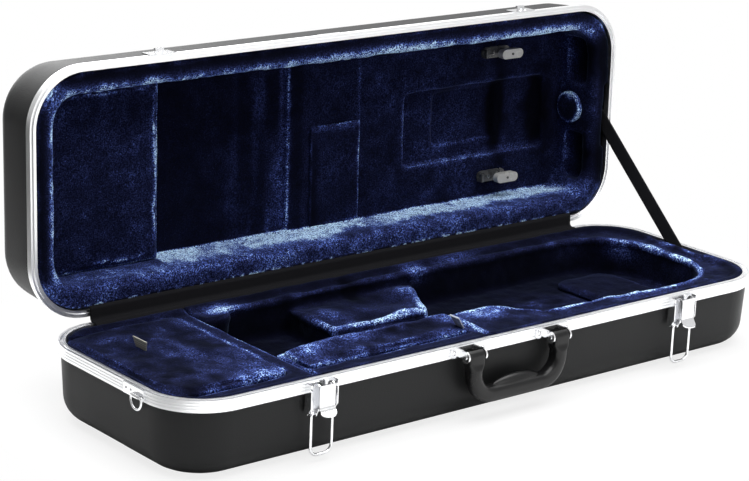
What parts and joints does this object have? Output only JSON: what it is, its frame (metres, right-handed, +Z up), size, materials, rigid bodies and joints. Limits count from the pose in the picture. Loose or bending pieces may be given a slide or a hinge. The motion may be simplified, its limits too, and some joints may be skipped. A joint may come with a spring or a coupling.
{
  "type": "oblong violin case",
  "caption": "Oblong moulded violin case with a metal rim, plush-lined tray and lid, turn-button bow holders, drawbolt latches, drop handle, strap rings and hinged lid on a webbing stay.",
  "frame": {"origin": "middle of the base's underside, on the plane it rests on", "axes": "+X along the case towards the tail end of the violin, -Y to the front with the handle and latches, +Z up out of the base"},
  "size_m": [0.8108, 0.3715, 0.3523],
  "materials": {
    "shell_plastic": "fine leather-grain moulded ABS",
    "rim_aluminium": "satin extruded aluminium",
    "bright_steel": "bright nickel plate",
    "plush": "short-pile plush",
    "grey_plastic": "smooth moulded nylon",
    "handle_plastic": "satin moulded plastic",
    "webbing": "woven tape"
  },
  "bodies": {
    "base": {"base_shell": "shell_plastic", "base_rim": "rim_aluminium", "base_rim_splice": "rim_aluminium", "tray_floor": "plush", "back_bolster": "plush", "front_bolster": "plush", "neck_rest": "plush", "heel_pad": "plush", "scroll_end_box": "plush", "side_box": "plush", "latch_base_left": "bright_steel", "latch_base_right": "bright_steel", "latch_pins": "bright_steel", "latch_rivets": "bright_steel", "handle_bracket_left": "bright_steel", "handle_bracket_right": "bright_steel", "handle_pins": "bright_steel", "handle_rivets": "bright_steel", "ring_plate_left": "bright_steel", "ring_plate_right": "bright_steel", "ring_rivets": "bright_steel", "hinge_base_leaves": "bright_steel", "hinge_pins": "bright_steel", "hinge_rivets_base": "bright_steel", "stay_anchor_base": "bright_steel", "lid_stay": "webbing", "hinge_cover": "webbing"},
    "lid": {"hinge_lid_leaves": "bright_steel", "hinge_rivets_lid": "bright_steel", "lid_shell": "shell_plastic", "lid_rim": "rim_aluminium", "lid_rim_splice": "rim_aluminium", "lid_floor_pad": "plush", "lid_wall_pad": "plush", "lid_end_pad": "plush", "lid_pocket": "plush", "lid_cushion": "plush", "keeper_left": "bright_steel", "keeper_right": "bright_steel", "keeper_rivets": "bright_steel", "bow_clip_front": "grey_plastic", "bow_clip_back": "grey_plastic", "bow_screws": "bright_steel", "stay_anchor_lid": "bright_steel"},
    "lever_left": {"latch_lever_left": "bright_steel"},
    "lever_right": {"latch_lever_right": "bright_steel"},
    "bail_left": {"latch_bail_left": "bright_steel"},
    "bail_right": {"latch_bail_right": "bright_steel"},
    "handle": {"handle_grip": "handle_plastic"},
    "strap_ring_left": {"ring_left": "bright_steel"},
    "strap_ring_right": {"ring_right": "bright_steel"},
    "scroll_end_lid": {"scroll_end_flap": "plush", "scroll_end_tab": "grey_plastic"},
    "side_lid": {"side_flap": "plush", "side_tab": "grey_plastic"},
    "bow_turn_front": {"bow_button_front": "grey_plastic"},
    "bow_turn_back": {"bow_button_back": "grey_plastic"}
  },
  "joints": [
    {"name": "lid_hinge", "type": "hinge", "parent": "base", "child": "lid", "pos_m": [0, 0.1342, 0.08225], "axis": [1, 0, 0], "range_deg": [0, 91], "deforming": ["lid_stay", "hinge_cover"]},
    {"name": "lever_left_pivot", "type": "hinge", "parent": "base", "child": "lever_left", "pos_m": [-0.243, -0.139, 0.076], "axis": [1, 0, 0], "range_deg": [-120, 0]},
    {"name": "bail_left_pivot", "type": "hinge", "parent": "lever_left", "child": "bail_left", "pos_m": [-0.243, -0.136, 0.0505], "axis": [-1, 0, 0], "range_deg": [0, 184]},
    {"name": "lever_right_pivot", "type": "hinge", "parent": "base", "child": "lever_right", "pos_m": [0.251, -0.139, 0.076], "axis": [1, 0, 0], "range_deg": [-120, 0]},
    {"name": "bail_right_pivot", "type": "hinge", "parent": "lever_right", "child": "bail_right", "pos_m": [0.251, -0.136, 0.0505], "axis": [-1, 0, 0], "range_deg": [0, 184]},
    {"name": "handle_pivot", "type": "hinge", "parent": "base", "child": "handle", "pos_m": [0.004, -0.1405, 0.0725], "axis": [-1, 0, 0], "range_deg": [0, 100]},
    {"name": "strap_ring_left_pivot", "type": "hinge", "parent": "base", "child": "strap_ring_left", "pos_m": [-0.403, -0.058, 0.074], "axis": [0, 1, 0], "range_deg": [0, 150]},
    {"name": "strap_ring_right_pivot", "type": "hinge", "parent": "base", "child": "strap_ring_right", "pos_m": [0.403, -0.058, 0.074], "axis": [0, -1, 0], "range_deg": [0, 150]},
    {"name": "scroll_end_lid_hinge", "type": "hinge", "parent": "base", "child": "scroll_end_lid", "pos_m": [-0.249, 0.005, 0.08], "axis": [0, -1, 0], "range_deg": [-94, 0]},
    {"name": "side_lid_hinge", "type": "hinge", "parent": "base", "child": "side_lid", "pos_m": [-0.222, -0.0695, 0.08], "axis": [0, 1, 0], "range_deg": [-94, 0]},
    {"name": "bow_turn_front_pivot", "type": "hinge", "parent": "lid", "child": "bow_turn_front", "pos_m": [0.268, 0.17808, 0.28972], "axis": [0, -0.9998, 0.0175], "range_deg": [-90, 90]},
    {"name": "bow_turn_back_pivot", "type": "hinge", "parent": "lid", "child": "bow_turn_back", "pos_m": [0.268, 0.17549, 0.14174], "axis": [0, -0.9998, 0.0175], "range_deg": [-90, 90]}
  ]
}
